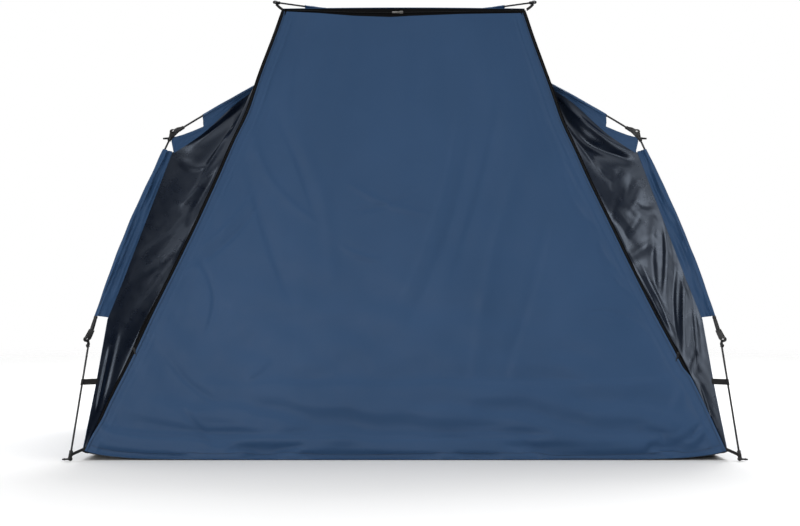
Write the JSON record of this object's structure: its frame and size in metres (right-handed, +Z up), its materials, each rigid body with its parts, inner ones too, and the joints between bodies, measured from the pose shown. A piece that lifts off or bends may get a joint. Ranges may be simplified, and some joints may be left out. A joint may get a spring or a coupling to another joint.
{
  "type": "pop-up beach tent",
  "caption": "Pop-up beach tent with a sprung pole frame on folding lower legs, a fabric shell hung inside it and a zipped front panel that folds down flat.",
  "frame": {"origin": "on the ground under the hub, at the middle of the rectangle of the four feet", "axes": "+X to the right seen from the front, +Y to the back, +Z up; the front panel faces -Y"},
  "size_m": [2.2494, 1.3322, 1.566],
  "materials": {
    "shell_cloth": "navy polyester plain weave, satin",
    "coated_cloth": "dark navy polyester with a shiny coating",
    "floor_cloth": "grey woven sheet",
    "zip_tape": "black zip tape and coil",
    "webbing": "black ribbed webbing",
    "pole": "black glass-fibre rod, semi-gloss",
    "moulded_nylon": "black moulded nylon, fine grain"
  },
  "bodies": {
    "tent": {"rear_wall": "shell_cloth", "rear_roof": "shell_cloth", "side_wall_left": "shell_cloth", "side_wall_right": "shell_cloth", "side_roof_left": "shell_cloth", "side_roof_right": "shell_cloth", "front_roof": "shell_cloth", "gusset_left": "coated_cloth", "gusset_right": "coated_cloth", "shoulder_left": "coated_cloth", "shoulder_right": "coated_cloth", "floor": "floor_cloth", "zip_left": "zip_tape", "zip_right": "zip_tape", "zip_top": "zip_tape", "hub": "moulded_nylon", "arm_left": "pole", "arm_right": "pole", "upper_pole_front_left": "pole", "knuckle_front_left": "moulded_nylon", "middle_pole_front_left": "pole", "sleeve_front_left": "shell_cloth", "elbow_upper_front_left": "moulded_nylon", "upper_pole_front_right": "pole", "knuckle_front_right": "moulded_nylon", "middle_pole_front_right": "pole", "sleeve_front_right": "shell_cloth", "elbow_upper_front_right": "moulded_nylon", "upper_pole_rear_left": "pole", "knuckle_rear_left": "moulded_nylon", "middle_pole_rear_left": "pole", "sleeve_rear_left": "shell_cloth", "elbow_upper_rear_left": "moulded_nylon", "upper_pole_rear_right": "pole", "knuckle_rear_right": "moulded_nylon", "middle_pole_rear_right": "pole", "sleeve_rear_right": "shell_cloth", "elbow_upper_rear_right": "moulded_nylon"},
    "front_panel": {"front_panel": "shell_cloth"},
    "lower_leg_front_left": {"elbow_lower_front_left": "moulded_nylon", "lower_pole_front_left": "pole", "foot_front_left": "moulded_nylon", "side_strap_front_left": "webbing", "corner_strap_front_left": "webbing"},
    "lower_leg_front_right": {"elbow_lower_front_right": "moulded_nylon", "lower_pole_front_right": "pole", "foot_front_right": "moulded_nylon", "side_strap_front_right": "webbing", "corner_strap_front_right": "webbing"},
    "lower_leg_rear_left": {"elbow_lower_rear_left": "moulded_nylon", "lower_pole_rear_left": "pole", "foot_rear_left": "moulded_nylon", "side_strap_rear_left": "webbing", "corner_strap_rear_left": "webbing"},
    "lower_leg_rear_right": {"elbow_lower_rear_right": "moulded_nylon", "lower_pole_rear_right": "pole", "foot_rear_right": "moulded_nylon", "side_strap_rear_right": "webbing", "corner_strap_rear_right": "webbing"}
  },
  "joints": [
    {"name": "front_panel_fold", "type": "hinge", "parent": "tent", "child": "front_panel", "pos_m": [0, -0.625, 0.0045], "axis": [1, 0, 0], "range_deg": [0, 100]},
    {"name": "leg_fold_front_left", "type": "hinge", "parent": "tent", "child": "lower_leg_front_left", "pos_m": [-1.05205, -0.62167, 0.398], "axis": [-0.5087, 0.8609, 0], "range_deg": [0, 180]},
    {"name": "leg_fold_front_right", "type": "hinge", "parent": "tent", "child": "lower_leg_front_right", "pos_m": [1.05205, -0.62167, 0.398], "axis": [-0.5087, -0.8609, 0], "range_deg": [0, 180]},
    {"name": "leg_fold_rear_left", "type": "hinge", "parent": "tent", "child": "lower_leg_rear_left", "pos_m": [-1.05205, 0.62167, 0.398], "axis": [0.5087, 0.8609, 0], "range_deg": [0, 180]},
    {"name": "leg_fold_rear_right", "type": "hinge", "parent": "tent", "child": "lower_leg_rear_right", "pos_m": [1.05205, 0.62167, 0.398], "axis": [0.5087, -0.8609, 0], "range_deg": [0, 180]}
  ]
}
